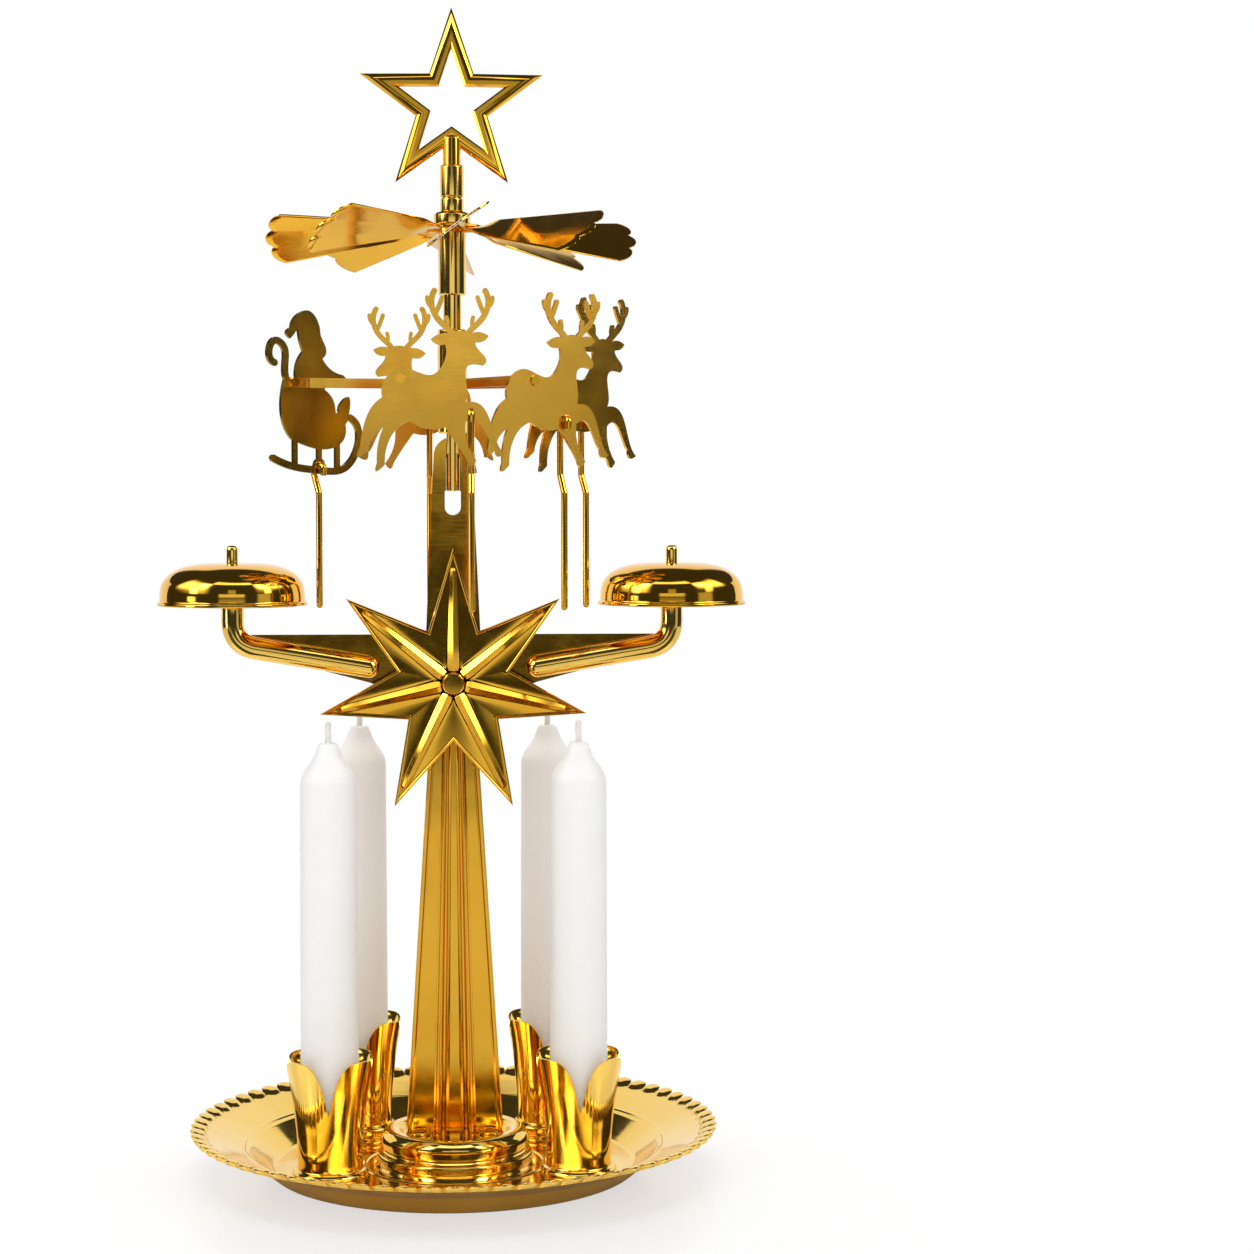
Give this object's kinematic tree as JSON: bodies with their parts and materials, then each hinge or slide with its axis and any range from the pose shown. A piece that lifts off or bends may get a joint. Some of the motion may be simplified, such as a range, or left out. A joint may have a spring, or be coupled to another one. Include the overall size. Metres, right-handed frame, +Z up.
{
  "type": "angel chime carousel",
  "caption": "Candle-driven table carousel: warm air turns a bladed rotor, and flat sleigh and reindeer figures swing rods that ring domed bells above a round tray.",
  "frame": {"origin": "middle of the tray's flat underside, on the table", "axes": "+Z up along the spindle; +X to the right bell; the star plate faces -Y"},
  "size_m": [0.146, 0.132, 0.2892],
  "materials": {
    "brass_sheet": "polished flat cut-out sheet",
    "brass_tray": "polished pressed sheet with faint spin marks",
    "brass_drawn": "polished drawn sheet",
    "brass_frame": "polished pressed sheet, bright rib edges",
    "brass_turned": "polished round rod and tube",
    "brass_rivet": "polished rivet heads",
    "brass_star": "polished pressed star",
    "brass_rotor": "polished thin blades",
    "brass_bell": "mirror polished bell",
    "brass_wire": "drawn wire",
    "pivot_steel": "hardened steel cup",
    "candle_wax": "smooth white wax",
    "wick_cotton": "braided cotton"
  },
  "bodies": {
    "stand": {"tray": "brass_tray", "base_boss": "brass_drawn", "boss_rivets": "brass_rivet", "cup_rivets": "brass_rivet", "column": "brass_frame", "spindle_plate": "brass_frame", "cross_arm": "brass_frame", "joint_rivets": "brass_rivet", "bell_post_left": "brass_turned", "bell_post_right": "brass_turned", "star_plate": "brass_star", "star_rivet": "brass_rivet", "spindle": "brass_turned", "candle_cup_1": "brass_drawn", "candle_cup_2": "brass_drawn", "candle_cup_3": "brass_drawn", "candle_cup_4": "brass_drawn"},
    "carousel": {"pivot_cup": "pivot_steel", "carrier_tube": "brass_turned", "rotor_hub": "brass_turned", "rotor_collar": "brass_turned", "rotor": "brass_rotor", "figure_hub": "brass_turned", "topper_socket": "brass_turned", "topper_star": "brass_star", "sleigh": "brass_sheet", "figure_rivets": "brass_rivet", "reindeer_1": "brass_sheet", "reindeer_2": "brass_sheet", "reindeer_3": "brass_sheet", "reindeer_4": "brass_sheet", "holder_1": "brass_sheet", "holder_2": "brass_sheet", "holder_3": "brass_sheet", "holder_4": "brass_sheet", "holder_5": "brass_sheet"},
    "bell_left": {"bell_left": "brass_bell"},
    "bell_right": {"bell_right": "brass_bell"},
    "striker_1": {"striker_1": "brass_wire"},
    "striker_2": {"striker_2": "brass_wire"},
    "striker_3": {"striker_3": "brass_wire"},
    "striker_4": {"striker_4": "brass_wire"},
    "striker_5": {"striker_5": "brass_wire"},
    "candle_1": {"candle_1": "candle_wax", "wick_1": "wick_cotton"},
    "candle_2": {"candle_2": "candle_wax", "wick_2": "wick_cotton"},
    "candle_3": {"candle_3": "candle_wax", "wick_3": "wick_cotton"},
    "candle_4": {"candle_4": "candle_wax", "wick_4": "wick_cotton"}
  },
  "joints": [
    {"name": "carousel_spin", "type": "hinge", "parent": "stand", "child": "carousel", "pos_m": [0, 0, 0.2331], "axis": [0, 0, 1], "continuous": true},
    {"name": "bell_left_spin", "type": "hinge", "parent": "stand", "child": "bell_left", "pos_m": [-0.0545, -0.00235, 0.15155], "axis": [0, 0, 1], "continuous": true},
    {"name": "bell_right_spin", "type": "hinge", "parent": "stand", "child": "bell_right", "pos_m": [0.0545, -0.00235, 0.15155], "axis": [0, 0, 1], "continuous": true},
    {"name": "striker_1_swing", "type": "hinge", "parent": "carousel", "child": "striker_1", "pos_m": [-0.033, -0.003, 0.1764], "axis": [0.6428, -0.766, 0], "range_deg": [-3.5, 15]},
    {"name": "striker_2_swing", "type": "hinge", "parent": "carousel", "child": "striker_2", "pos_m": [0.0044, -0.033, 0.1888], "axis": [0, -1, 0], "range_deg": [-15, 11]},
    {"name": "striker_3_swing", "type": "hinge", "parent": "carousel", "child": "striker_3", "pos_m": [0.02702, -0.0195, 0.1876], "axis": [0.5, -0.866, 0], "range_deg": [-15, 12]},
    {"name": "striker_4_swing", "type": "hinge", "parent": "carousel", "child": "striker_4", "pos_m": [0.03302, -0.00403, 0.1881], "axis": [0.5878, -0.809, 0], "range_deg": [-4, 2]},
    {"name": "striker_5_swing", "type": "hinge", "parent": "carousel", "child": "striker_5", "pos_m": [-0.006, 0.033, 0.1881], "axis": [0, 1, 0], "range_deg": [-15, 15]},
    {"name": "candle_1_lift", "type": "slide", "parent": "stand", "child": "candle_1", "axis": [0, 0, 1], "range_m": [0, 0.024]},
    {"name": "candle_2_lift", "type": "slide", "parent": "stand", "child": "candle_2", "axis": [0, 0, 1], "range_m": [0, 0.024]},
    {"name": "candle_3_lift", "type": "slide", "parent": "stand", "child": "candle_3", "axis": [0, 0, 1], "range_m": [0, 0.024]},
    {"name": "candle_4_lift", "type": "slide", "parent": "stand", "child": "candle_4", "axis": [0, 0, 1], "range_m": [0, 0.024]}
  ]
}
